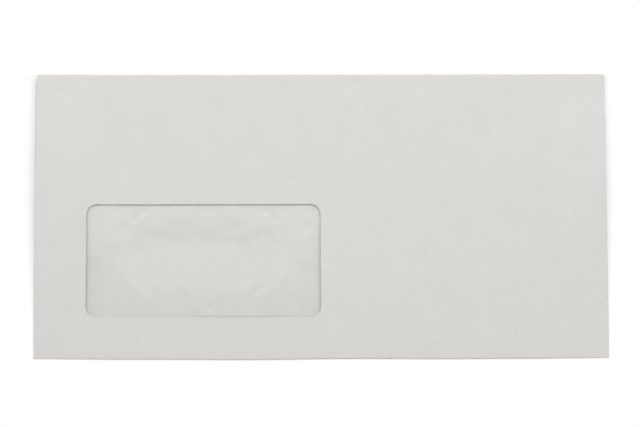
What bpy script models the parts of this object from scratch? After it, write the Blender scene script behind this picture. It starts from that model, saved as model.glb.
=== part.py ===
"""A window envelope in light grey recycled paper, closed and empty.

One paper blank is folded at four creases into a front, two side flaps, a back panel and a seal flap.
A clear film is glued behind the window in the front, the back panel is glued to the side flaps,
and the seal flap, with a band of dried gum, is folded over the back.

The envelope lies face up: X runs along its long side, Y up its front and Z out of its front.
The origin is under the middle of the front, on the surface that the envelope lies on.
All lengths are in metres.
"""

import math

import bmesh
import bpy
from mathutils import Matrix, Vector

# Outside of the folded envelope
ENVELOPE_WIDTH = 0.220
ENVELOPE_HEIGHT = 0.110

# Sheets and adhesives
PAPER_THICKNESS = 0.00011
FILM_THICKNESS = 0.000035
GLUE_THICKNESS = 0.00002
GUM_THICKNESS = 0.00002

# Clearances between the layers and at the creases
LAYER_GAP = 0.00002  # between an adhesive and the sheets that it joins
FLAP_GAP = 0.0001  # between the gum of the closed flap and the back panel
POCKET_GAP = 0.0009  # room for a letter, between the side flaps and the film
CREASE_GAP = 0.00005  # between a panel and the bent strip beside it
HINGE_GAP = 0.00005  # between the two halves of the top fold

# Window, measured from the left and bottom edges of the front
WINDOW_WIDTH = 0.090
WINDOW_HEIGHT = 0.0433
WINDOW_LEFT = 0.020
WINDOW_BOTTOM = 0.016
WINDOW_RADIUS = 0.004
WINDOW_GLUE_SETBACK = 0.0015  # from the window's edge to the glue
WINDOW_GLUE_WIDTH = 0.004
FILM_MARGIN = 0.0015  # film outside the glue

# Side flaps
SIDE_FLAP_WIDTH = 0.016
SIDE_FLAP_TOP_SETBACK = 0.004  # from the front panel's top edge to the side fold
SIDE_FLAP_BOTTOM_SETBACK = 0.0003  # from the front panel's bottom edge to the side fold
SIDE_FLAP_SLANT = 0.006  # how far each end draws in towards the free edge
SEAM_GLUE_MARGIN = 0.004  # from the edges of the seam to its glue

# Back panel
THROAT_DEPTH = 0.014  # from the envelope's top edge to the back panel's edge
BACK_SIDE_INSET = 0.0005
BACK_CORNER_RADIUS = 0.008

# Seal flap
SEAL_FLAP_DEPTH = 0.038
SEAL_FLAP_SIDE_INSET = 0.0008  # at the top fold
SEAL_FLAP_SLANT = 0.010  # how far each side draws in towards the free edge
SEAL_FLAP_CORNER_RADIUS = 0.012
GUM_WIDTH = 0.012
GUM_INSET = 0.003  # from the flap's free edge and sides

# Smoothness of the rounded corners and the folds
CORNER_STEPS = 8
FOLD_STEPS = 12
SHARP_ANGLE = math.radians(40)

# Finishes: colour, roughness and alpha
GREY_PAPER = ((0.70, 0.69, 0.665), 0.85, 1.0)
CLEAR_FILM = ((0.93, 0.94, 0.94), 0.12, 0.2)
CLEAR_GLUE = ((0.80, 0.79, 0.74), 0.4, 1.0)
DRY_GUM = ((0.66, 0.65, 0.60), 0.3, 1.0)

# Heights of the layers' undersides, from the surface up
FLAP_BOTTOM = 0.0
GUM_BOTTOM = FLAP_BOTTOM + PAPER_THICKNESS + LAYER_GAP
BACK_BOTTOM = GUM_BOTTOM + GUM_THICKNESS + FLAP_GAP
SEAM_GLUE_BOTTOM = BACK_BOTTOM + PAPER_THICKNESS + LAYER_GAP
SIDE_BOTTOM = SEAM_GLUE_BOTTOM + GLUE_THICKNESS + LAYER_GAP
FILM_BOTTOM = SIDE_BOTTOM + PAPER_THICKNESS + POCKET_GAP
WINDOW_GLUE_BOTTOM = FILM_BOTTOM + FILM_THICKNESS + LAYER_GAP
FRONT_BOTTOM = WINDOW_GLUE_BOTTOM + GLUE_THICKNESS + LAYER_GAP
FRONT_TOP = FRONT_BOTTOM + PAPER_THICKNESS

# Outer radii of the folds, each from the front's face to the outer face of the sheet behind it
SIDE_FOLD_RADIUS = (FRONT_TOP - SIDE_BOTTOM) / 2
BOTTOM_FOLD_RADIUS = (FRONT_TOP - BACK_BOTTOM) / 2
TOP_FOLD_RADIUS = (FRONT_TOP - FLAP_BOTTOM) / 2

# Edges of the envelope, and of the flat panels beside the folds
LEFT = -ENVELOPE_WIDTH / 2
TOP = ENVELOPE_HEIGHT / 2
BOTTOM = -ENVELOPE_HEIGHT / 2
PANEL_LEFT = LEFT + SIDE_FOLD_RADIUS + CREASE_GAP
PANEL_TOP = TOP - TOP_FOLD_RADIUS - CREASE_GAP
PANEL_BOTTOM = BOTTOM + BOTTOM_FOLD_RADIUS + CREASE_GAP
BACK_LEFT = LEFT + BACK_SIDE_INSET
BACK_TOP = TOP - THROAT_DEPTH
SEAL_FLAP_LEFT = LEFT + SEAL_FLAP_SIDE_INSET
SEAL_FLAP_EDGE = TOP - SEAL_FLAP_DEPTH
SIDE_FLAP_EDGE = LEFT + SIDE_FLAP_WIDTH
SIDE_FLAP_TOP = PANEL_TOP - SIDE_FLAP_TOP_SETBACK
SIDE_FLAP_BOTTOM = PANEL_BOTTOM + SIDE_FLAP_BOTTOM_SETBACK

# The seal flap turns about the outermost line of the top fold
HINGE_POINT = Vector((0.0, TOP, FLAP_BOTTOM + TOP_FOLD_RADIUS))


def clear_scene():
    for obj in list(bpy.data.objects):
        bpy.data.objects.remove(obj, do_unlink=True)


def add_holder(name, location):
    """An empty that carries the pieces of one moving body."""
    holder = bpy.data.objects.new(name, None)
    holder.location = location
    bpy.context.collection.objects.link(holder)
    return holder


def make_material(name, finish):
    color, roughness, alpha = finish
    material = bpy.data.materials.new(name)
    material.use_nodes = True
    shader = material.node_tree.nodes["Principled BSDF"]
    shader.inputs["Base Color"].default_value = (*color, 1.0)
    shader.inputs["Roughness"].default_value = roughness
    shader.inputs["Metallic"].default_value = 0.0
    shader.inputs["Alpha"].default_value = alpha
    return material


def add_piece(name, bm, location, holder, finish):
    """Turn a mesh that is built around location into a named piece, carried by a holder."""
    bmesh.ops.recalc_face_normals(bm, faces=bm.faces[:])
    mesh = bpy.data.meshes.new(name)
    bm.to_mesh(mesh)
    bm.free()
    mesh.shade_smooth()
    mesh.set_sharp_from_angle(angle=SHARP_ANGLE)
    mesh.materials.append(make_material(name, finish))
    piece = bpy.data.objects.new(name, mesh)
    piece.parent = holder
    piece.location = Vector(location) - holder.location
    bpy.context.collection.objects.link(piece)
    return piece


def rounded_outline(corners):
    """Points of a closed outline, anticlockwise, from corners given as x, y and radius."""
    points = []
    for i, (x, y, radius) in enumerate(corners):
        corner = Vector((x, y))
        if radius <= 0:
            points.append(corner)
            continue
        back = (Vector(corners[i - 1][:2]) - corner).normalized()
        ahead = (Vector(corners[(i + 1) % len(corners)][:2]) - corner).normalized()
        half_angle = back.angle(ahead) / 2
        centre = corner + (back + ahead).normalized() * radius / math.sin(half_angle)
        spoke = corner + back * radius / math.tan(half_angle) - centre
        turn = math.pi - 2 * half_angle
        for step in range(CORNER_STEPS + 1):
            points.append(centre + Matrix.Rotation(turn * step / CORNER_STEPS, 2) @ spoke)
    return points


def rectangle(left, bottom, right, top, radius=0.0):
    return rounded_outline(
        [(left, bottom, radius), (right, bottom, radius), (right, top, radius), (left, top, radius)]
    )


def mirrored(outline):
    """The same outline on the other side of the envelope, still anticlockwise."""
    return [Vector((-point.x, point.y)) for point in reversed(outline)]


def add_sheet(name, outline, underside, thickness, holder, finish, hole=None):
    """A flat sheet with a given outline, and a hole in it where one is given."""
    bm = bmesh.new()
    location = Vector((0.0, holder.location.y, underside))
    for loop in (outline, hole):
        if loop is None:
            continue
        verts = [bm.verts.new((point.x, point.y - location.y, 0.0)) for point in loop]
        for start, end in zip(verts, verts[1:] + verts[:1]):
            bm.edges.new((start, end))
    bmesh.ops.triangle_fill(bm, edges=bm.edges[:], use_beauty=True)
    upper = bmesh.ops.extrude_face_region(bm, geom=bm.faces[:])["geom"]
    upper_verts = [item for item in upper if isinstance(item, bmesh.types.BMVert)]
    bmesh.ops.translate(bm, vec=(0.0, 0.0, thickness), verts=upper_verts)
    return add_piece(name, bm, location, holder, finish)


def add_fold(name, crease, start, radius, length, sweep, location, holder):
    """A strip of paper bent about a crease, swept from a start direction around the fold's centre."""
    bm = bmesh.new()
    crease, start = Vector(crease), Vector(start)
    inner, outer = start * (radius - PAPER_THICKNESS), start * radius
    reach = crease * length / 2
    bm.faces.new([bm.verts.new(p) for p in (inner - reach, inner + reach, outer + reach, outer - reach)])
    bmesh.ops.spin(
        bm,
        geom=bm.verts[:] + bm.edges[:] + bm.faces[:],
        cent=(0.0, 0.0, 0.0),
        axis=crease,
        dvec=(0.0, 0.0, 0.0),
        angle=sweep,
        steps=FOLD_STEPS,
        use_duplicate=False,
    )
    return add_piece(name, bm, location, holder, GREY_PAPER)


def window_outline(offset=0.0):
    """The window's outline, or one that runs round it at an offset."""
    left = LEFT + WINDOW_LEFT - offset
    bottom = BOTTOM + WINDOW_BOTTOM - offset
    right = LEFT + WINDOW_LEFT + WINDOW_WIDTH + offset
    top = BOTTOM + WINDOW_BOTTOM + WINDOW_HEIGHT + offset
    return rectangle(left, bottom, right, top, WINDOW_RADIUS + offset)


def add_front_panel(envelope):
    outline = rectangle(PANEL_LEFT, PANEL_BOTTOM, -PANEL_LEFT, PANEL_TOP)
    window = window_outline()
    add_sheet("front_panel", outline, FRONT_BOTTOM, PAPER_THICKNESS, envelope, GREY_PAPER, hole=window)


def add_window(envelope):
    """The clear film and the frame of glue that holds it behind the front."""
    glue_inner = window_outline(WINDOW_GLUE_SETBACK)
    glue_outer = window_outline(WINDOW_GLUE_SETBACK + WINDOW_GLUE_WIDTH)
    add_sheet(
        "window_glue", glue_outer, WINDOW_GLUE_BOTTOM, GLUE_THICKNESS, envelope, CLEAR_GLUE, hole=glue_inner
    )
    lap = WINDOW_GLUE_SETBACK + WINDOW_GLUE_WIDTH + FILM_MARGIN
    film_left = LEFT + WINDOW_LEFT - lap
    film_bottom_edge = BOTTOM + WINDOW_BOTTOM - lap
    film = rectangle(
        film_left,
        film_bottom_edge,
        film_left + WINDOW_WIDTH + 2 * lap,
        film_bottom_edge + WINDOW_HEIGHT + 2 * lap,
    )
    add_sheet("window_film", film, FILM_BOTTOM, FILM_THICKNESS, envelope, CLEAR_FILM)


def add_side_flaps(envelope):
    """The side flaps, the folds that join them to the front and the glue lines on their outer faces."""
    left_flap = rounded_outline(
        [
            (PANEL_LEFT, SIDE_FLAP_BOTTOM, 0.0),
            (SIDE_FLAP_EDGE, SIDE_FLAP_BOTTOM + SIDE_FLAP_SLANT, 0.0),
            (SIDE_FLAP_EDGE, SIDE_FLAP_TOP - SIDE_FLAP_SLANT, 0.0),
            (PANEL_LEFT, SIDE_FLAP_TOP, 0.0),
        ]
    )
    left_glue = rectangle(
        BACK_LEFT + SEAM_GLUE_MARGIN,
        SIDE_FLAP_BOTTOM + SIDE_FLAP_SLANT,
        SIDE_FLAP_EDGE - SEAM_GLUE_MARGIN,
        min(SIDE_FLAP_TOP - SIDE_FLAP_SLANT, BACK_TOP - BACK_CORNER_RADIUS),
    )
    flaps = {"left": left_flap, "right": mirrored(left_flap)}
    glues = {"left": left_glue, "right": mirrored(left_glue)}
    fold_centre = Vector(
        (LEFT + SIDE_FOLD_RADIUS, (SIDE_FLAP_TOP + SIDE_FLAP_BOTTOM) / 2, SIDE_BOTTOM + SIDE_FOLD_RADIUS)
    )
    length = SIDE_FLAP_TOP - SIDE_FLAP_BOTTOM
    for side, sign in (("left", 1), ("right", -1)):
        add_sheet(f"{side}_side_flap", flaps[side], SIDE_BOTTOM, PAPER_THICKNESS, envelope, GREY_PAPER)
        add_sheet(f"{side}_seam_glue", glues[side], SEAM_GLUE_BOTTOM, GLUE_THICKNESS, envelope, CLEAR_GLUE)
        centre = Vector((sign * fold_centre.x, fold_centre.y, fold_centre.z))
        sweep = -sign * math.pi
        add_fold(f"{side}_fold", (0, 1, 0), (0, 0, 1), SIDE_FOLD_RADIUS, length, sweep, centre, envelope)


def add_back_panel(envelope):
    """The back panel, with rounded upper corners, and the bottom fold that joins it to the front."""
    outline = rounded_outline(
        [
            (BACK_LEFT, PANEL_BOTTOM, 0.0),
            (-BACK_LEFT, PANEL_BOTTOM, 0.0),
            (-BACK_LEFT, BACK_TOP, BACK_CORNER_RADIUS),
            (BACK_LEFT, BACK_TOP, BACK_CORNER_RADIUS),
        ]
    )
    add_sheet("back_panel", outline, BACK_BOTTOM, PAPER_THICKNESS, envelope, GREY_PAPER)
    centre = (0.0, BOTTOM + BOTTOM_FOLD_RADIUS, BACK_BOTTOM + BOTTOM_FOLD_RADIUS)
    length = -2 * BACK_LEFT
    add_fold("bottom_fold", (1, 0, 0), (0, 0, 1), BOTTOM_FOLD_RADIUS, length, math.pi, centre, envelope)


def add_top_fold(envelope, hinge):
    """The top fold, parted along its outermost line so that its flap half can turn away."""
    centre = (0.0, TOP - TOP_FOLD_RADIUS, FLAP_BOTTOM + TOP_FOLD_RADIUS)
    length = -2 * SEAL_FLAP_LEFT
    sweep = math.pi / 2 - math.asin(HINGE_GAP / 2 / TOP_FOLD_RADIUS)
    crease = (1, 0, 0)
    add_fold("top_fold_front_half", crease, (0, 0, 1), TOP_FOLD_RADIUS, length, -sweep, centre, envelope)
    add_fold("top_fold_flap_half", crease, (0, 0, -1), TOP_FOLD_RADIUS, length, sweep, centre, hinge)


def seal_flap_side(height):
    """Where the seal flap's slanting left side runs at a given height."""
    share = (TOP - height) / SEAL_FLAP_DEPTH
    return SEAL_FLAP_LEFT + SEAL_FLAP_SLANT * share


def add_seal_flap(hinge):
    """The seal flap, drawn in towards its free edge, and the band of gum on its inner face."""
    flap = rounded_outline(
        [
            (seal_flap_side(SEAL_FLAP_EDGE), SEAL_FLAP_EDGE, SEAL_FLAP_CORNER_RADIUS),
            (-seal_flap_side(SEAL_FLAP_EDGE), SEAL_FLAP_EDGE, SEAL_FLAP_CORNER_RADIUS),
            (-seal_flap_side(PANEL_TOP), PANEL_TOP, 0.0),
            (seal_flap_side(PANEL_TOP), PANEL_TOP, 0.0),
        ]
    )
    add_sheet("seal_flap", flap, FLAP_BOTTOM, PAPER_THICKNESS, hinge, GREY_PAPER)
    gum_edge = SEAL_FLAP_EDGE + GUM_INSET
    gum_top = gum_edge + GUM_WIDTH
    gum_radius = max(SEAL_FLAP_CORNER_RADIUS - GUM_INSET, 0.0)
    gum = rounded_outline(
        [
            (seal_flap_side(gum_edge) + GUM_INSET, gum_edge, gum_radius),
            (-seal_flap_side(gum_edge) - GUM_INSET, gum_edge, gum_radius),
            (-seal_flap_side(gum_top) - GUM_INSET, gum_top, 0.0),
            (seal_flap_side(gum_top) + GUM_INSET, gum_top, 0.0),
        ]
    )
    add_sheet("flap_gum", gum, GUM_BOTTOM, GUM_THICKNESS, hinge, DRY_GUM)


def main():
    clear_scene()
    envelope = add_holder("envelope", (0.0, 0.0, 0.0))
    hinge = add_holder("flap_hinge", HINGE_POINT)
    add_front_panel(envelope)
    add_window(envelope)
    add_side_flaps(envelope)
    add_back_panel(envelope)
    add_top_fold(envelope, hinge)
    add_seal_flap(hinge)


main()
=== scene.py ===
"""A closed, empty window envelope of light grey recycled paper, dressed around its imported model."""

import math

import bmesh
import bpy
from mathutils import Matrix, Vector


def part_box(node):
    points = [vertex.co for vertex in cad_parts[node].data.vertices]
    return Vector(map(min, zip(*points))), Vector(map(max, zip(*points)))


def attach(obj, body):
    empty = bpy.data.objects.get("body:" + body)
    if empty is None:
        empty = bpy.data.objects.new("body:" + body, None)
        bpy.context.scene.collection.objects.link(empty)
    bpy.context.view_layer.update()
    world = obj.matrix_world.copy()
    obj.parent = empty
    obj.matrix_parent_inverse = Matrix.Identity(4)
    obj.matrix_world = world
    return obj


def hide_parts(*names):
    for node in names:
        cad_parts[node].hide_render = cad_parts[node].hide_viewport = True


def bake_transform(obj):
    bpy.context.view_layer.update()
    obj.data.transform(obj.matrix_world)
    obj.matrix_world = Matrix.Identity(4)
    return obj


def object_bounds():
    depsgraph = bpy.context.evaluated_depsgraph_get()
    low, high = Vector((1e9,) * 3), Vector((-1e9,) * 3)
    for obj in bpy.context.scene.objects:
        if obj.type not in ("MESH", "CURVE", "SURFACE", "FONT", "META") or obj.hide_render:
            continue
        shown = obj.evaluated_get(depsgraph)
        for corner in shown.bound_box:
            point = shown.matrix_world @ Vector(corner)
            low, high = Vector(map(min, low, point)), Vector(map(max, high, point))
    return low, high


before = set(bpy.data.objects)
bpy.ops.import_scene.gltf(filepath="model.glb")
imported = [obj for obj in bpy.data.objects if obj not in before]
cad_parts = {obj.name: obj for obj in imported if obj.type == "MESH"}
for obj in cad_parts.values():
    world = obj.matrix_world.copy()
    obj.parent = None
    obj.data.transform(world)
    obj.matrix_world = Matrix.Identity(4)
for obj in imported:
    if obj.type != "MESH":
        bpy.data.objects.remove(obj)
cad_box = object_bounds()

MM = 0.001

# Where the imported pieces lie
front_low, front_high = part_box("front_panel")
film_low, film_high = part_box("window_film")
glue_low, glue_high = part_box("window_glue")
seam_low, seam_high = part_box("left_seam_glue")
side_low, side_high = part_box("left_side_flap")
left_fold_low, left_fold_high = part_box("left_fold")
bottom_fold_low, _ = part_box("bottom_fold")
back_low, back_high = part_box("back_panel")
top_fold_low, top_fold_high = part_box("top_fold_front_half")
flap_low, flap_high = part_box("seal_flap")
gum_low, gum_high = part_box("flap_gum")

# The paper blank
PAPER = front_high.z - front_low.z
FACE = front_high.z
SIDE_RADIUS = (FACE - left_fold_low.z) / 2
BOTTOM_RADIUS = (FACE - bottom_fold_low.z) / 2
TOP_RADIUS = (FACE - flap_low.z) / 2
CREASE_X = -left_fold_low.x - SIDE_RADIUS
CREASE_BOTTOM = bottom_fold_low.y + BOTTOM_RADIUS
CREASE_TOP = top_fold_high.y - TOP_RADIUS
FRONT_COLUMNS, FRONT_ROWS = 88, 44
FOLD_STEPS = 12
ON_LINE = 0.02 * MM  # points this near a line are taken to be on it
CUT_SLACK = 0.002 * MM  # points this near a cut, or each other, become one
CREASE_SPREAD = 0.9 * MM  # flat paper beside a crease that still bends a little
FLAP_JOINT = CREASE_TOP - 0.4 * MM  # the front's last strip is modelled with the seal flap
SIDE_START = left_fold_low.y
CORNER_EAR = 0.55 * MM  # how far the front reaches past the side creases at its lower corners
SIDE_FLAP_STEPS = 6
SIDE_FLAP_EDGE = side_high.x
SIDE_FLAP_REACH = CREASE_X + SIDE_FLAP_EDGE
SIDE_FLAP_SLANT = 6 * MM
NIP_TOP = CREASE_TOP - 0.9 * MM  # the left crease starts lower, where its corner is nipped off
NIP_BOTTOM = left_fold_high.y + SIDE_FLAP_SLANT * SIDE_RADIUS / SIDE_FLAP_REACH
RIGHT_FLAP_TOP = FLAP_JOINT - 0.3 * MM
BACK_STEPS = 36
BACK_LEAD_IN = 3 * MM  # in which the back narrows from the front's lower corners to its own width
BACK_RADIUS = 8 * MM
CORNER_CUTS = 9
SMOOTH_BELOW = math.radians(40)  # edges that bend less are shaded smooth
WORN = "worn_crease"  # the mark on the points of a sheet where it is rubbed

# The window, cut by a die whose two halves leave a nib between them at each side
GLUE_SETBACK = 1.5 * MM
GLUE_WIDTH = 4 * MM
WINDOW_LAP = GLUE_SETBACK + GLUE_WIDTH
WINDOW_LOW = Vector((glue_low.x + WINDOW_LAP, glue_low.y + WINDOW_LAP))
WINDOW_HIGH = Vector((glue_high.x - WINDOW_LAP, glue_high.y - WINDOW_LAP))
WINDOW_MIDDLE = (WINDOW_LOW + WINDOW_HIGH) / 2
WINDOW_RADIUS = 4 * MM
DIE_SHIFT = -0.22 * MM  # the die came down a little left of its place
DIE_HEIGHT = 3 * PAPER
NIB = 0.2 * MM
NIB_REACH = 3.5 * MM

# The film sags in the window, is wrinkled, and is held flat where it is glued
FILM_COLUMNS, FILM_ROWS = 200, 110
FILM_SAG = 0.42 * MM
SAG_LOW, SAG_HIGH = Vector((-22, -24)) * MM, Vector((22, 2)) * MM  # from the middle of the window
SAG_REACH = 19 * MM
GLUED_REACH = 1.6 * MM
WRINKLE_CORE = 0.5 * MM  # points this near a wrinkle's path move all the way
FILM_WRINKLES = [
    # height, width and path of each, in millimetres from the middle of the window
    # two sharp creases near the upper corners, each steep below and shallow above
    (-0.12, 1.7, ((-26.9, 15.7), (-23.2, 19.1))),
    (-0.12, 1.7, ((27.0, 15.8), (23.3, 19.0))),
    (-0.08, 3.4, ((-27.8, 16.8), (-24.1, 20.2))),
    (-0.08, 3.4, ((27.9, 16.9), (24.2, 20.1))),
    # a long hollow below the upper edge
    (-0.12, 9.5, ((-11.0, 8.8), (11.0, 8.8))),
    # two ridges that curve down and inwards
    (0.05, 3.0, ((-31.0, 1.5), (-30.2, -4.5), (-28.6, -8.9), (-25.4, -12.1), (-20.8, -14.6))),
    (0.05, 3.0, ((31.4, 1.5), (30.6, -4.5), (29.0, -8.9), (25.6, -12.1), (20.8, -14.6))),
    (0.06, 2.8, ((-30.2, -4.5), (-28.6, -8.9), (-25.4, -12.1), (-20.8, -14.6))),
    (0.06, 2.8, ((30.6, -4.5), (29.0, -8.9), (25.6, -12.1), (20.8, -14.6))),
    # swells and hollows beside the ends, with a fold on each
    (0.10, 11.0, ((-39.5, 5.0), (-38.5, 5.0))),
    (0.10, 11.0, ((39.5, 6.0), (38.5, 6.0))),
    (-0.12, 10.0, ((-40.0, -9.0), (-38.0, -19.0))),
    (-0.12, 10.0, ((40.0, -8.0), (38.0, -19.0))),
    (0.05, 3.6, ((-39.5, 8.6), (-34.5, 7.2))),
    (0.05, 3.6, ((35.5, 8.2), (40.5, 10.4))),
    (-0.14, 1.5, ((38.9, 11.8), (40.0, 14.0))),
    # dents and folds along the top
    (-0.07, 4.0, ((-34.0, 13.0), (-31.0, 11.8))),
    (-0.07, 4.0, ((33.6, 13.4), (31.0, 12.4))),
    (-0.07, 2.8, ((-22.5, 10.2), (-20.9, 9.4))),
    (-0.07, 2.8, ((22.4, 10.0), (20.8, 9.2))),
    (0.10, 3.0, ((-18.8, 12.6), (-17.0, 12.0))),
    (0.05, 2.2, ((-3.3, 6.2), (-2.7, 6.2))),
    (0.07, 3.6, ((17.5, 11.0), (14.5, 10.0))),
    (-0.04, 3.4, ((-10.5, 7.2), (-8.0, 6.4))),
    (-0.04, 3.4, ((9.0, 6.4), (10.0, 7.2))),
    (-0.04, 3.4, ((1.5, 7.0), (3.5, 7.6))),
    (0.06, 3.8, ((-3.5, 12.8), (2.5, 13.4))),
    (-0.06, 3.4, ((-8.5, 14.6), (-6.5, 12.8))),
    (-0.06, 3.4, ((9.0, 14.4), (11.5, 12.2))),
    (0.05, 3.2, ((12.0, 17.0), (15.5, 16.4))),
    # two flat folds below the middle
    (0.06, 3.0, ((-19.5, -10.2), (-14.7, -11.6), (-8.0, -10.4))),
    (0.06, 3.0, ((7.0, -11.0), (14.0, -11.8), (20.0, -9.4))),
    # short nicks at the edges
    (-0.18, 1.4, ((-13.0, 20.2), (-12.0, 21.4))),
    (-0.18, 1.4, ((-6.2, 20.2), (-5.2, 21.4))),
    (-0.07, 1.6, ((3.2, -16.6), (2.4, -18.4))),
    (-0.08, 1.8, ((-37.0, -20.0), (-35.4, -17.6))),
    (-0.08, 1.8, ((37.2, -20.0), (35.0, -17.2))),
]

# The adhesives
SEAM_COLUMNS, SEAM_ROWS = 3, 30
SEAM_CORNER = 1.2 * MM
SEAM_CORNER_CUTS = 4
GLUE_STEP = 5 * MM  # between the cuts that let the glue frame bow
TOUCH = 0.003 * MM  # what the visible adhesives leave between them and the sheets

# The seal flap
FLAP_STEPS = 15
FLAP_LEFT = top_fold_low.x - 0.35 * MM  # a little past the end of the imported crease
FLAP_RIGHT = CREASE_X + CORNER_EAR
FLAP_EDGE = flap_low.y
FLAP_SLANT = 10 * MM
FLAP_RADIUS = 12 * MM
GUM_RADIUS = 9 * MM
GUM_COLUMNS, GUM_ROWS = 70, 5

# How the lying envelope bows
LIFTED_SIDES = (
    # side, heights between which its edge starts to rise, its lift at the crease, what is added
    # below that, and the share of its lift by which the edge is drawn in
    (-1, -45 * MM, 10 * MM, 1.2 * MM, 1.3 * MM, 0.09),
    (1, -45 * MM, 20 * MM, 0.7 * MM, 1.6 * MM, 0.15),
)
LIFT_REACH = 23 * MM  # from a side edge inwards
LIFT_END = (14 * MM, 53.2 * MM)  # heights between which what is added fades out towards the crease
FLAP_SHARE = 0.5  # of the lift, that the closed flap follows
BOTTOM_LIFT = 0.3 * MM  # of the bottom edge between its corners
BOTTOM_LIFT_REACH = 14 * MM  # how far above that edge it ends
BACK_RISE = 0.45 * MM  # how far the closed flap presses the back up towards the front
BACK_RISE_START = (-14 * MM, 1 * MM)  # heights between which that starts, below the flap's free edge
BACK_RISE_REACH = 24 * MM  # how far from a side edge it is whole
PRESSED = (0.22, 0.7)  # share of the full thickness that the bottom and the side creases leave
PRESS_REACH = (34 * MM, 12 * MM)  # how far from them they press
BOW_POINTS = (45, 23, 2)
BOTTOM_WAVES = (  # where and how far the bottom crease bulges or draws in
    (-110 * MM, -0.25 * MM),
    (-27 * MM, 0.30 * MM),
    (50 * MM, 0.25 * MM),
    (88 * MM, 0.18 * MM),
)
WAVE_REACH = 22 * MM

# The finishes
PULP_SHADES = ((0.662, 0.652, 0.628, 1), (0.738, 0.728, 0.702, 1))
FIBRE_SHADE = (0.60, 0.585, 0.55, 1)
SPECK_SHADE = (0.30, 0.29, 0.27, 1)
DARK_SPECK_SHADE = (0.16, 0.15, 0.14, 1)
RUBBED_SHADE = (0.80, 0.79, 0.765, 1)
CLEAR_SHADE = (0.982, 0.982, 0.980, 1)
GLUE_SHADES = ((0.72, 0.71, 0.66, 1), (0.86, 0.85, 0.80, 1))
GUM_SHADES = ((0.615, 0.60, 0.54, 1), (0.69, 0.675, 0.615, 1))
GUM_SPOT_SHADE = (0.72, 0.71, 0.66, 1)
WHITE = (1, 1, 1, 1)
FILM_MIRROR = 0.026  # share of the light that the film mirrors where it is seen square on
FILM_EDGE_MIRROR = 0.96  # what is added to that where it is seen edge on
FILM_HAZE = 0.028
FILM_ROUGHNESS = 0.13
FIBRE_RUNS = (  # the turn of each run of fibres, and its scale along each axis
    (0.4, (260, 1100, 300)),
    (-0.9, (1000, 240, 300)),
    (1.3, (320, 900, 300)),
)

# Floor and light
FLOOR_SIZE = 8.0
FLOOR_LEVEL = -0.02 * MM
FLOOR_SHADES = (0.95, 0.75)  # before the envelope, and behind it, nearer the lamps: both look white
FLOOR_RUN = (-0.3, 0.3)  # places along y between which one shade turns into the other
FLOOR_GLOW = 0.16  # of its own, near the envelope
SHADOW_END = (0.2, 0.5)  # distances between which the floor stops taking shadows and is plain white
ROOM_LIGHT = 0.254
LAMP_WATTS = 4  # per square metre of a lamp of brightness 1
SOFTBOX = ((0.1, 0.40, 1.0), (5.0, 1.3), 0.735)  # place, size and brightness of the main lamp
CEILING_PANELS = (  # the same for the lamps that the film mirrors
    ((0.15, 0.53, 1.05), (2.4, 1.0), 0.5),
    ((0.15, 0.62, 1.06), (2.4, 0.84), 0.5),
)

# The camera, from the corners of the envelope in the picture
CAMERA_PLACE = (-13.5 * MM, -92.6 * MM, 797.1 * MM)
CAMERA_TURN = (6.683, -0.93, -0.147)  # in degrees
CAMERA_LENS, SENSOR = 117.2, 36.0  # in millimetres


def pick(piece, kind, wanted):
    """Select the wanted points, edges or faces of a piece in edit mode, by their place and normal."""
    bpy.ops.mesh.select_mode(type=kind)
    bpy.ops.mesh.select_all(action="DESELECT")
    mesh = bmesh.from_edit_mesh(piece.data)
    if kind == "VERT":
        for point in mesh.verts:
            point.select_set(wanted(point.co))
    elif kind == "EDGE":
        for edge in mesh.edges:
            edge.select_set(all(wanted(point.co) for point in edge.verts))
    else:
        for face in mesh.faces:
            face.select_set(wanted(face.calc_center_median(), face.normal))
    mesh.select_flush_mode()
    bmesh.update_edit_mesh(piece.data)


def near(value, target):
    return abs(value - target) < ON_LINE


def square_to(along):
    """A direction in the plane of the flat sheet, square to another."""
    return Vector((-along.y, along.x, 0))


def new_grid(name, low, high, height, columns, rows):
    """A flat grid between two corners, left open in edit mode."""
    bpy.ops.object.select_all(action="DESELECT")
    bpy.ops.mesh.primitive_grid_add(x_subdivisions=columns, y_subdivisions=rows, size=1)
    piece = bpy.context.object
    piece.name = piece.data.name = name
    piece.scale = (high[0] - low[0], high[1] - low[1], 1)
    piece.location = ((low[0] + high[0]) / 2, (low[1] + high[1]) / 2, height)
    bpy.ops.object.transform_apply(location=True, rotation=True, scale=True)
    bpy.ops.object.mode_set(mode="EDIT")
    return piece


def cut(place, normal, clear=False):
    """Cut what is selected along a plane, and throw away the side that the normal points to if asked."""
    normal = Vector(normal).normalized()
    bpy.ops.mesh.bisect(plane_co=place, plane_no=normal, clear_outer=clear, threshold=CUT_SLACK)


def cut_whole(place, normal):
    bpy.ops.mesh.select_all(action="SELECT")
    cut(place, normal)


def pull(step, times):
    """Extrude the selected edges in equal steps."""
    for _ in range(times):
        bpy.ops.mesh.extrude_region_move(TRANSFORM_OT_translate={"value": step})


def round_off(piece, centre, radius, side, end, lean, belongs):
    """Trim a corner at the upper end (1) or lower end (-1) to a curve, by short cuts that touch it."""
    for i in range(1, CORNER_CUTS):
        turn = lean + (math.pi / 2 - lean) * i / CORNER_CUTS
        out = Vector((side * math.cos(turn), end * math.sin(turn), 0))
        pick(piece, "FACE", belongs)
        cut(centre + out * radius, out, clear=True)


def give_thickness(piece, thickness):
    """Leave edit mode and thicken an open sheet on the side that its faces turn away from."""
    bpy.ops.object.mode_set(mode="OBJECT")
    wall = piece.modifiers.new("thickness", "SOLIDIFY")
    wall.thickness = thickness
    wall.offset = -1
    wall.use_even_offset = True
    wall.use_rim = True
    bpy.ops.object.modifier_apply(modifier=wall.name)


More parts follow.
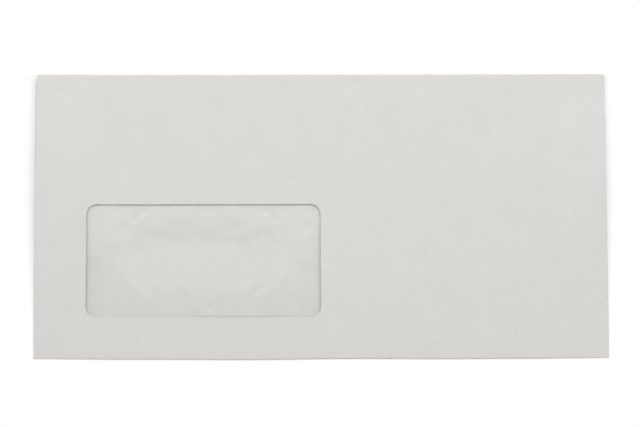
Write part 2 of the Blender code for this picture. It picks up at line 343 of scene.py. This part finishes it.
def face_outwards(piece, place):
    """Turn all faces of an open sheet the same way, so that the one nearest a place faces up."""
    place = Vector(place)
    bpy.ops.mesh.select_all(action="SELECT")
    bpy.ops.mesh.remove_doubles(threshold=CUT_SLACK)
    bpy.ops.mesh.normals_make_consistent(inside=False)
    mesh = bmesh.from_edit_mesh(piece.data)
    mesh.faces.ensure_lookup_table()
    nearest = min(mesh.faces, key=lambda face: (face.calc_center_median() - place).length)
    if nearest.normal.z < 0:
        bpy.ops.mesh.select_all(action="SELECT")
        bpy.ops.mesh.flip_normals()


def fold_paper_body():
    """The front, the side creases and flaps, the bottom crease and the back, in one folded sheet."""
    body = new_grid(
        "paper_body", (-CREASE_X, CREASE_BOTTOM), (CREASE_X, FLAP_JOINT), FACE, FRONT_COLUMNS, FRONT_ROWS
    )
    for height in (SIDE_START, NIP_TOP, NIP_BOTTOM, CREASE_BOTTOM + CREASE_SPREAD):
        cut_whole((0, height, FACE), (0, 1, 0))
    for side in (-1, 1):
        cut_whole((side * (CREASE_X - CREASE_SPREAD), 0, FACE), (1, 0, 0))

    for side, top in ((-1, NIP_TOP), (1, FLAP_JOINT)):
        pick(
            body,
            "EDGE",
            lambda co: near(co.x, side * CREASE_X) and SIDE_START - ON_LINE < co.y < top + ON_LINE,
        )
        bpy.ops.mesh.spin(
            steps=FOLD_STEPS,
            angle=-side * math.pi,
            center=(side * CREASE_X, 0, FACE - SIDE_RADIUS),
            axis=(0, 1, 0),
        )
        pull((-side * SIDE_FLAP_REACH / SIDE_FLAP_STEPS, 0, 0), SIDE_FLAP_STEPS)

    for side in (-1, 1):
        pick(body, "EDGE", lambda co: near(co.x, side * CREASE_X) and co.y < SIDE_START + ON_LINE)
        pull((side * CORNER_EAR, 0, 0), 1)
    pick(body, "EDGE", lambda co: near(co.y, CREASE_BOTTOM) and near(co.z, FACE))
    bpy.ops.mesh.spin(
        steps=FOLD_STEPS, angle=-math.pi, center=(0, CREASE_BOTTOM, FACE - BOTTOM_RADIUS), axis=(1, 0, 0)
    )
    pull((0, BACK_LEAD_IN, 0), 1)
    bpy.ops.transform.resize(value=(-back_low.x / (CREASE_X + CORNER_EAR), 1, 1))
    rest = back_high.y - CREASE_BOTTOM - BACK_LEAD_IN
    pull((0, rest / BACK_STEPS, 0), BACK_STEPS)

    trim_side_flaps(body)
    on_back = lambda co, normal: near(co.z, back_low.z) and co.y > back_high.y - 2 * BACK_RADIUS
    for side in (-1, 1):
        centre = Vector((side * (-back_low.x - BACK_RADIUS), back_high.y - BACK_RADIUS, 0))
        round_off(body, centre, BACK_RADIUS, side, 1, 0, on_back)

    face_outwards(body, (CREASE_X / 2, 0, FACE))
    give_thickness(body, PAPER)
    cut_window(body)
    return body


def trim_side_flaps(body):
    """Nip the left crease's upper end and slant the ends of both side flaps."""
    middle = FACE - SIDE_RADIUS
    on_crease = lambda co: co.x < -CREASE_X + ON_LINE and co.y > SIDE_START
    pick(body, "FACE", lambda co, normal: on_crease(co) and co.z > middle)
    nip = Vector((-SIDE_RADIUS, NIP_BOTTOM - NIP_TOP, 0))
    cut((-CREASE_X, NIP_TOP, FACE), -square_to(nip), clear=True)
    for side, top in ((-1, left_fold_high.y), (1, RIGHT_FLAP_TOP)):
        on_flap = lambda co, normal: side * co.x > -SIDE_FLAP_EDGE and (
            left_fold_low.z - ON_LINE < co.z < middle and co.y > SIDE_START
        )
        upper_end = Vector((-side * SIDE_FLAP_REACH, left_fold_high.y - SIDE_FLAP_SLANT - top, 0))
        pick(body, "FACE", on_flap)
        cut((side * CREASE_X, top, 0), -side * square_to(upper_end), clear=True)
        lower_end = Vector((-side * SIDE_FLAP_REACH, SIDE_FLAP_SLANT, 0))
        pick(body, "FACE", on_flap)
        cut((side * CREASE_X, SIDE_START, 0), side * square_to(lower_end), clear=True)


def cut_window(body):
    """Stamp the window out of the front with a die."""
    bpy.ops.object.select_all(action="DESELECT")
    bpy.ops.mesh.primitive_cube_add(
        size=1, location=(WINDOW_MIDDLE.x + DIE_SHIFT, WINDOW_MIDDLE.y, FACE - PAPER / 2)
    )
    die = bpy.context.object
    die.scale = (*(WINDOW_HIGH - WINDOW_LOW), DIE_HEIGHT)
    bpy.ops.object.transform_apply(location=True, rotation=True, scale=True)
    bpy.ops.object.mode_set(mode="EDIT")
    bpy.ops.mesh.select_mode(type="EDGE")
    bpy.ops.mesh.select_all(action="DESELECT")
    mesh = bmesh.from_edit_mesh(die.data)
    for edge in mesh.edges:
        along = edge.verts[0].co - edge.verts[1].co
        edge.select_set(abs(along.z) > PAPER)
    bmesh.update_edit_mesh(die.data)
    bpy.ops.mesh.bevel(offset=WINDOW_RADIUS, segments=CORNER_CUTS, affect="EDGES")
    width = WINDOW_HIGH.x - WINDOW_LOW.x
    for height in (-NIB_REACH, 0, NIB_REACH):
        cut_whole((0, WINDOW_MIDDLE.y + height, 0), (0, 1, 0))
    pick(die, "VERT", lambda co: near(co.y, WINDOW_MIDDLE.y))
    bpy.ops.transform.resize(value=(1 - 2 * NIB / width, 1, 1))
    bpy.ops.object.mode_set(mode="OBJECT")
    bpy.ops.object.select_all(action="DESELECT")
    bpy.context.view_layer.objects.active = body
    body.select_set(True)
    stamp = body.modifiers.new("window", "BOOLEAN")
    stamp.operation = "DIFFERENCE"
    stamp.solver = "EXACT"
    stamp.object = die
    bpy.ops.object.modifier_apply(modifier=stamp.name)
    bpy.data.objects.remove(die)


def trim_tip(piece, side, tip, edge, radius, belongs):
    """Round the corner where a slanting side of the seal flap meets its free edge."""
    lean = math.atan2(FLAP_SLANT, top_fold_high.y - FLAP_EDGE)
    run = radius * math.tan((math.pi / 2 - lean) / 2)
    centre = Vector((side * (tip - run), edge + radius, 0))
    round_off(piece, centre, radius, side, -1, lean, belongs)


def fold_seal_flap():
    """The front's last strip, the top crease and the seal flap, in one bent sheet."""
    flap = new_grid(
        "seal_flap_sheet", (FLAP_LEFT, FLAP_JOINT), (FLAP_RIGHT, CREASE_TOP), FACE, FRONT_COLUMNS, 1
    )
    pick(flap, "EDGE", lambda co: near(co.y, CREASE_TOP))
    bpy.ops.mesh.spin(
        steps=FOLD_STEPS, angle=math.pi, center=(0, CREASE_TOP, FACE - TOP_RADIUS), axis=(1, 0, 0)
    )
    pull((0, (FLAP_EDGE - CREASE_TOP) / FLAP_STEPS, 0), FLAP_STEPS)
    behind = lambda co, normal: near(co.z, flap_low.z) and co.y < CREASE_TOP
    for side, start in ((-1, -FLAP_LEFT), (1, FLAP_RIGHT)):
        tip = -FLAP_LEFT - FLAP_SLANT
        along = Vector((side * (tip - start), FLAP_EDGE - CREASE_TOP, 0))
        pick(flap, "FACE", behind)
        cut((side * start, CREASE_TOP, 0), side * square_to(along), clear=True)
        trim_tip(flap, side, tip, FLAP_EDGE, FLAP_RADIUS, behind)
    face_outwards(flap, (0, FLAP_JOINT, FACE))
    give_thickness(flap, PAPER)
    return flap


def push(way, reach):
    """Move the selected points of a sheet, and less and less of what is around them."""
    bpy.ops.transform.translate(
        value=way,
        use_proportional_edit=True,
        proportional_edit_falloff="SMOOTH",
        proportional_size=reach,
    )


def distance_to_path(place, points):
    """How far a place is from the nearest stretch of a path."""
    nearest = 1.0
    for start, end in zip(points, points[1:]):
        along = end - start
        share = min(max((place - start).dot(along) / along.length_squared, 0), 1)
        nearest = min(nearest, (place - start - along * share).length)
    return nearest


def hang_film():
    """The clear film behind the window, sagging a little and wrinkled."""
    film = new_grid("clear_window_film", film_low, film_high, film_high.z, FILM_COLUMNS, FILM_ROWS)
    low, high = WINDOW_MIDDLE + SAG_LOW, WINDOW_MIDDLE + SAG_HIGH
    pick(film, "VERT", lambda co: low.x < co.x < high.x and low.y < co.y < high.y)
    push((0, 0, -FILM_SAG), SAG_REACH)
    for height, width, path in FILM_WRINKLES:
        points = [WINDOW_MIDDLE + Vector(point) * MM for point in path]
        pick(film, "VERT", lambda co: distance_to_path(co.xy, points) < WRINKLE_CORE)
        push((0, 0, height * MM), width * MM)
    lap = Vector((GLUE_SETBACK, GLUE_SETBACK))
    low, high = WINDOW_LOW - lap, WINDOW_HIGH + lap
    pick(film, "VERT", lambda co: not (low.x < co.x < high.x and low.y < co.y < high.y))
    bpy.ops.transform.resize(
        value=(1, 1, 0),
        center_override=(0, 0, film_high.z),
        use_proportional_edit=True,
        proportional_edit_falloff="SMOOTH",
        proportional_size=GLUED_REACH,
    )
    face_outwards(film, (film_low.x, film_low.y, film_high.z))
    give_thickness(film, film_high.z - film_low.z)
    return film


def lay_window_glue():
    """The frame of glue that holds the film behind the front."""
    top = front_low.z - TOUCH
    glue = new_grid("window_glue_frame", glue_low, glue_high, top, 1, 1)
    bpy.ops.mesh.select_all(action="SELECT")
    bpy.ops.mesh.bevel(offset=WINDOW_RADIUS + WINDOW_LAP, segments=CORNER_CUTS, affect="VERTICES")
    bpy.ops.mesh.select_all(action="SELECT")
    bpy.ops.mesh.inset(thickness=GLUE_WIDTH, use_boundary=True)
    bpy.ops.mesh.delete(type="FACE")
    for axis, across in enumerate((Vector((1, 0, 0)), Vector((0, 1, 0)))):
        for i in range(1, int((glue_high[axis] - glue_low[axis]) / GLUE_STEP)):
            cut_whole(across * (glue_low[axis] + i * GLUE_STEP), across)
    face_outwards(glue, (glue_low.x, 0, top))
    give_thickness(glue, top - film_high.z - TOUCH)
    return glue


def lay_seam_glue(side):
    """A strip of glue between a side flap and the back."""
    left, right = sorted((side * -seam_low.x, side * -seam_high.x))
    top = side_low.z - TOUCH
    name = "left_seam_strip" if side < 0 else "right_seam_strip"
    strip = new_grid(name, (left, seam_low.y), (right, seam_high.y), top, SEAM_COLUMNS, SEAM_ROWS)
    at_end = lambda co: near(co.y, seam_low.y) or near(co.y, seam_high.y)
    pick(strip, "VERT", lambda co: at_end(co) and (near(co.x, left) or near(co.x, right)))
    bpy.ops.mesh.bevel(offset=SEAM_CORNER, segments=SEAM_CORNER_CUTS, affect="VERTICES")
    face_outwards(strip, (left, 0, top))
    give_thickness(strip, top - back_high.z - TOUCH)
    return strip


def brush_flap_gum():
    """The dried band of gum along the seal flap's free edge, on its inner face."""
    gum = new_grid("flap_gum_band", gum_low, gum_high, gum_high.z, GUM_COLUMNS, GUM_ROWS)
    everywhere = lambda co, normal: True
    for side in (-1, 1):
        along = Vector((-side * FLAP_SLANT, FLAP_EDGE - top_fold_high.y, 0))
        pick(gum, "FACE", everywhere)
        cut((side * gum_high.x, gum_high.y, 0), side * square_to(along), clear=True)
        tip = gum_high.x - FLAP_SLANT * (gum_high.y - gum_low.y) / (top_fold_high.y - FLAP_EDGE)
        trim_tip(gum, side, tip, gum_low.y, GUM_RADIUS, everywhere)
    face_outwards(gum, (0, gum_low.y, gum_high.z))
    give_thickness(gum, gum_high.z - flap_high.z - TOUCH)
    return gum


def soft_step(value, low=0, high=1):
    """0 up to low, 1 from high on, and smooth between."""
    share = min(max((value - low) / (high - low), 0), 1)
    return share * share * (3 - 2 * share)


def wear_creases(sheet):
    """Note at each point of a sheet how far out on a crease it is, where the paper gets rubbed."""
    worn = sheet.data.attributes.new(WORN, "FLOAT", "POINT")
    for point, mark in zip(sheet.data.vertices, worn.data):
        side = (abs(point.co.x) - CREASE_X) / SIDE_RADIUS
        top = (point.co.y - CREASE_TOP) / TOP_RADIUS
        bottom = (CREASE_BOTTOM - point.co.y) / BOTTOM_RADIUS
        mark.value = soft_step(max(side, top, bottom))


def bow_at(x, y, below, behind, size):
    """How far the bow moves a place of the envelope, in the lower or the upper half of its thickness."""
    from_bottom = y + size.y / 2
    from_side = size.x / 2 - abs(x)
    fade = 1 - soft_step(y, *LIFT_END)
    between_corners = 1 - (2 * x / size.x) ** 4
    lift = BOTTOM_LIFT * (1 - soft_step(from_bottom, 0, BOTTOM_LIFT_REACH)) * between_corners
    draw_in = 0.0
    for side, low, high, corner, more, share in LIFTED_SIDES:
        inwards = (size.x / 2 - side * x) / LIFT_REACH
        rise = (corner + more * fade) * math.exp(-inwards * inwards) * soft_step(y, low, high)
        if below and behind < 1:
            rise *= behind * fade
        lift += rise
        draw_in -= side * share * rise
    if below and behind == 1:
        started = soft_step(y, *BACK_RISE_START)
        lift += BACK_RISE * started * fade * soft_step(from_side, 0, BACK_RISE_REACH)
    if not below:
        thickness = 1.0
        for share, reach, inwards in zip(PRESSED, PRESS_REACH, (from_bottom, from_side)):
            thickness *= 1 - (1 - share) * max(1 - inwards / reach, 0) ** 2
        lift -= (1 - thickness) * fade * size.z
    wave = 0.0
    for place, most in BOTTOM_WAVES:
        along = (x - place) / WAVE_REACH
        wave -= most * math.exp(-along * along) * (1 - soft_step(from_bottom, 0, PRESS_REACH[0]))
    return draw_in, wave, lift


def bow(pieces, behind):
    """Bow pieces as an empty envelope that lies on its flap, with a given share of the lift behind."""
    middle = (cad_box[0] + cad_box[1]) / 2
    size = cad_box[1] - cad_box[0]
    bpy.ops.object.select_all(action="DESELECT")
    bpy.ops.object.add(type="LATTICE", location=middle)
    cage = bpy.context.object
    cage.scale = size
    cage.data.points_u, cage.data.points_v, cage.data.points_w = BOW_POINTS
    cage.data.interpolation_type_w = "KEY_LINEAR"
    for point in cage.data.points:
        x = middle.x + point.co.x * size.x
        y = middle.y + point.co.y * size.y
        moved = bow_at(x, y, point.co.z < 0, behind, size)
        point.co_deform = point.co + Vector([way / side for way, side in zip(moved, size)])
    cage.data.update_tag()
    bpy.context.view_layer.update()
    for piece in pieces:
        bpy.ops.object.select_all(action="DESELECT")
        bpy.context.view_layer.objects.active = piece
        piece.select_set(True)
        bend = piece.modifiers.new("bow", "LATTICE")
        bend.object = cage
        bpy.ops.object.modifier_apply(modifier=bend.name)
        bpy.ops.object.shade_smooth_by_angle(angle=SMOOTH_BELOW)
    bpy.data.objects.remove(cage)


class Wire:
    """A socket among a finish's nodes. Arithmetic on it adds the Math nodes."""

    def __init__(self, finish, socket):
        self.finish = finish
        self.socket = socket

    def also(self, name):
        """Another output of the same node."""
        return Wire(self.finish, self.socket.node.outputs[name])

    def math(self, operation, first, second):
        return self.finish.add("ShaderNodeMath", {"operation": operation}, {0: first, 1: second})

    def __add__(self, other):
        return self.math("ADD", self, other)

    __radd__ = __add__

    def __sub__(self, other):
        return self.math("SUBTRACT", self, other)

    def __rsub__(self, other):
        return self.math("SUBTRACT", other, self)

    def __mul__(self, other):
        return self.math("MULTIPLY", self, other)

    __rmul__ = __mul__

    def __truediv__(self, other):
        return self.math("DIVIDE", self, other)

    def __rtruediv__(self, other):
        return self.math("DIVIDE", other, self)

    def __pow__(self, other):
        return self.math("POWER", self, other)

    def __rpow__(self, other):
        return self.math("POWER", other, self)

    def __abs__(self):
        return self.math("ABSOLUTE", self, 0)


class Finish:
    """The nodes of one material, or of the world."""

    def __init__(self, name, owner=None):
        self.owner = owner or bpy.data.materials.new(name)
        self.owner.use_nodes = True
        self.tree = self.owner.node_tree
        self.tree.nodes.clear()

    def add(self, kind, settings=None, sockets=None):
        """Add a node, set it, give its sockets their values or links, and return its first output."""
        node = self.tree.nodes.new(kind)
        for key, value in (settings or {}).items():
            setattr(node, key, value)
        for key, value in (sockets or {}).items():
            if isinstance(key, int):
                socket = node.inputs[key]
            else:
                socket = next(s for s in node.inputs if s.enabled and key in (s.name, s.identifier))
            if isinstance(value, Wire):
                self.tree.links.new(value.socket, socket)
            else:
                socket.default_value = value
        outputs = [s for s in node.outputs if s.enabled]
        return Wire(self, outputs[0]) if outputs else None

    def place(self):
        return self.add("ShaderNodeTexCoord").also("Object")

    def turned(self, place, angle, scale):
        sockets = {"Vector": place, "Rotation": (0, 0, angle), "Scale": scale}
        return self.add("ShaderNodeMapping", {"vector_type": "POINT"}, sockets)

    def noise(self, place, scale, detail, distortion=0.0):
        """Soft patches, about so many to the metre, with layers of finer ones over them."""
        sockets = {"Vector": place, "Scale": scale, "Detail": detail, "Distortion": distortion}
        return self.add("ShaderNodeTexNoise", {"noise_dimensions": "3D"}, sockets)

    def ramp(self, value, low, high):
        """0 below low and 1 above high, with a soft step between, or the reverse where low is higher."""
        sockets = {"Value": value, "From Min": low, "From Max": high}
        return self.add("ShaderNodeMapRange", {"interpolation_type": "SMOOTHSTEP"}, sockets)

    def blend(self, share, first, second):
        sockets = {"Factor_Float": share, "A_Color": first, "B_Color": second}
        settings = {"data_type": "RGBA", "clamp_factor": True}
        return self.add("ShaderNodeMix", settings, sockets)

    def flecks(self, place, spacing, smallest, largest, wobble):
        """Specks of ink and bark in the pulp, one in each patch of a spacing, many too small to show."""
        settings = {"voronoi_dimensions": "2D", "feature": "F1"}
        spot = self.add("ShaderNodeTexVoronoi", settings, {"Vector": place, "Scale": 1 / spacing})
        chance = self.add("ShaderNodeSeparateColor", None, {"Color": spot.also("Color")})
        size = (smallest + (largest - smallest) * chance * chance) / spacing
        distance = spot + (wobble - 0.5) * (largest / spacing)
        return self.ramp(distance / size, 1.0, 0.55) * (0.3 + 0.7 * chance.also("Green"))

    def bump(self, height, distance, strength):
        sockets = {"Height": height, "Distance": distance, "Strength": strength}
        return self.add("ShaderNodeBump", None, sockets)

    def surface(self, shader):
        self.add("ShaderNodeOutputMaterial", None, {"Surface": shader})
        return self.owner


def grey_recycled_paper():
    """Light grey recycled paper: cloudy pulp, short fibres, specks, and creases rubbed paler."""
    paper = Finish("grey_recycled_paper")
    place = paper.place()
    worn = paper.add("ShaderNodeAttribute", {"attribute_name": WORN}).also("Fac")
    clouds = paper.noise(place, 90, 3)
    pulp = paper.noise(place, 900, 4)
    grain = paper.noise(place, 3200, 2)
    fibres = None
    for angle, scale in FIBRE_RUNS:
        strand = paper.noise(paper.turned(place, angle, scale), 1, 2, 0.6)
        line = paper.ramp(abs(strand - 0.5), 0.035, 0.0)
        fibres = line if fibres is None else fibres + line
    specks = paper.flecks(place, spacing=2.5 * MM, smallest=0.04 * MM, largest=0.25 * MM, wobble=grain)
    dark_specks = paper.flecks(
        place, spacing=15 * MM, smallest=0.05 * MM, largest=0.30 * MM, wobble=grain
    )
    tone = 0.5 + 0.6 * (clouds - 0.5) + 0.8 * (pulp - 0.5) + 0.3 * (grain - 0.5)
    colour = paper.blend(tone, *PULP_SHADES)
    colour = paper.blend(fibres * 0.10, colour, FIBRE_SHADE)
    colour = paper.blend(specks * 0.24, colour, SPECK_SHADE)
    colour = paper.blend(dark_specks * 0.42, colour, DARK_SPECK_SHADE)
    rubbed = worn * paper.ramp(pulp, 0.35, 0.65)
    colour = paper.blend(rubbed * 0.35, colour, RUBBED_SHADE)
    relief = pulp * 0.6 + grain * 0.25 + fibres * 0.25 + clouds * 0.6
    shader = paper.add(
        "ShaderNodeBsdfPrincipled",
        None,
        {
            "Base Color": colour,
            "Roughness": 0.82 + 0.12 * pulp,
            "Specular IOR Level": 0.25,
            "Normal": paper.bump(relief, distance=0.03 * MM, strength=0.5),
        },
    )
    return paper.surface(shader)


def clear_wrinkled_film():
    """Thin clear film: what is behind it shows, and its two faces mirror a little of the room."""
    clear = Finish("clear_wrinkled_film")
    facing = clear.add("ShaderNodeLayerWeight", None, {"Blend": 0.5}).also("Facing")
    haze = clear.noise(clear.place(), 500, 3)
    mirrored = FILM_MIRROR + FILM_EDGE_MIRROR * facing**5 + FILM_HAZE * haze
    see = clear.add("ShaderNodeBsdfTransparent", None, {"Color": CLEAR_SHADE})
    shine = clear.add("ShaderNodeBsdfGlossy", None, {"Color": WHITE, "Roughness": FILM_ROUGHNESS})
    return clear.surface(clear.add("ShaderNodeMixShader", None, {0: mirrored, 1: see, 2: shine}))


def dried_glue():
    """Dried clear glue, a little milky and uneven."""
    glue_finish = Finish("dried_glue")
    place = glue_finish.place()
    lumps = glue_finish.noise(place, 700, 3)
    colour = glue_finish.blend(lumps, *GLUE_SHADES)
    shader = glue_finish.add(
        "ShaderNodeBsdfPrincipled",
        None,
        {
            "Base Color": colour,
            "Roughness": 0.32 + 0.2 * lumps,
            "Normal": glue_finish.bump(lumps, distance=0.02 * MM, strength=0.5),
        },
    )
    return glue_finish.surface(shader)


def dried_gum():
    """A brushed band of gum on the paper: satin, slightly yellow, streaked along the flap."""
    gum_finish = Finish("dried_gum")
    place = gum_finish.place()
    streaks = gum_finish.noise(gum_finish.turned(place, 0, (60, 1600, 300)), 1, 3)
    spots = gum_finish.noise(place, 900, 2)
    colour = gum_finish.blend(streaks, *GUM_SHADES)
    colour = gum_finish.blend(gum_finish.ramp(spots, 0.62, 0.8) * 0.4, colour, GUM_SPOT_SHADE)
    relief = streaks * 0.7 + spots * 0.4
    shader = gum_finish.add(
        "ShaderNodeBsdfPrincipled",
        None,
        {
            "Base Color": colour,
            "Roughness": 0.22 + 0.22 * spots,
            "Normal": gum_finish.bump(relief, distance=0.02 * MM, strength=0.4),
        },
    )
    return gum_finish.surface(shader)


def seen_directly(finish):
    """1 for what the camera sees, directly, mirrored or through clear film, and 0 for other light."""
    path = finish.add("ShaderNodeLightPath").also("Is Camera Ray")
    seen = path + path.also("Is Glossy Ray") + path.also("Is Transmission Ray")
    return seen.math("MINIMUM", seen, 1)


def lay_floor():
    """A plain white floor that keeps the shadow around the envelope."""
    bpy.ops.object.select_all(action="DESELECT")
    bpy.ops.mesh.primitive_plane_add(size=FLOOR_SIZE, location=(0, 0, FLOOR_LEVEL))
    floor = bpy.context.object
    floor.name = floor.data.name = "floor"
    white = Finish("white_floor")
    seen = seen_directly(white)
    place = white.place()
    far = white.ramp(white.add("ShaderNodeVectorMath", {"operation": "LENGTH"}, {0: place}), *SHADOW_END)
    behind = white.ramp(white.add("ShaderNodeSeparateXYZ", None, {0: place}).also("Y"), *FLOOR_RUN)
    shade = (FLOOR_SHADES[0] + (FLOOR_SHADES[1] - FLOOR_SHADES[0]) * behind) * (1 - far)
    matte = white.add("ShaderNodeBsdfDiffuse", None, {"Color": shade})
    strength = seen * (FLOOR_GLOW + (1 - FLOOR_GLOW) * far)
    glow = white.add("ShaderNodeEmission", None, {"Color": WHITE, "Strength": strength})
    lit = white.add("ShaderNodeAddShader", None, {0: matte, 1: glow})
    floor.data.materials.append(white.surface(lit))


def hang_lamp(name, place, size, brightness):
    """A flat rectangular lamp that faces down."""
    bpy.ops.object.light_add(type="AREA", location=place)
    lamp = bpy.context.object
    lamp.name = name
    lamp.data.shape = "RECTANGLE"
    lamp.data.size, lamp.data.size_y = size
    lamp.data.energy = LAMP_WATTS * size[0] * size[1] * brightness
    return lamp


def light_and_look():
    """Plain soft light from above and beyond the top crease, and the camera."""
    scene = bpy.context.scene
    scene.world = bpy.data.worlds.new("room")
    room = Finish("room", scene.world)
    seen = seen_directly(room)
    strength = ROOM_LIGHT + (1 - ROOM_LIGHT) * seen
    sky = room.add("ShaderNodeBackground", None, {"Color": WHITE, "Strength": strength})
    room.add("ShaderNodeOutputWorld", None, {"Surface": sky})

    hang_lamp("softbox", *SOFTBOX).visible_glossy = False
    for panel in CEILING_PANELS:
        hang_lamp("ceiling_panel", *panel)

    bpy.ops.object.camera_add(location=CAMERA_PLACE)
    camera = bpy.context.object
    camera.rotation_mode = "ZYX"
    camera.rotation_euler = [math.radians(turn) for turn in CAMERA_TURN]
    camera.data.sensor_width = SENSOR
    camera.data.lens = CAMERA_LENS
    scene.camera = camera
    scene.view_settings.view_transform = "Standard"


def dress(piece, finish, nodes):
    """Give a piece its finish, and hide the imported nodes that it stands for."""
    piece.data.materials.clear()
    piece.data.materials.append(finish)
    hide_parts(*nodes)


body = fold_paper_body()
flap = fold_seal_flap()
film = hang_film()
glue = lay_window_glue()
seams = [lay_seam_glue(-1), lay_seam_glue(1)]
gum = brush_flap_gum()
for sheet in (body, flap):
    wear_creases(sheet)
bow((body, film, glue, *seams), behind=1)
bow((flap, gum), behind=FLAP_SHARE)

paper = grey_recycled_paper()
glue_finish = dried_glue()
dress(
    body,
    paper,
    (
        "front_panel",
        "left_fold",
        "right_fold",
        "bottom_fold",
        "left_side_flap",
        "right_side_flap",
        "back_panel",
    ),
)
dress(flap, paper, ("seal_flap", "top_fold_front_half", "top_fold_flap_half"))
dress(film, clear_wrinkled_film(), ("window_film",))
dress(glue, glue_finish, ("window_glue",))
for seam, node in zip(seams, ("left_seam_glue", "right_seam_glue")):
    dress(seam, glue_finish, (node,))
dress(gum, dried_gum(), ("flap_gum",))

for piece in (body, film, glue, *seams):
    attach(piece, "envelope")
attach(gum, "flap")
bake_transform(flap)

lay_floor()
light_and_look()
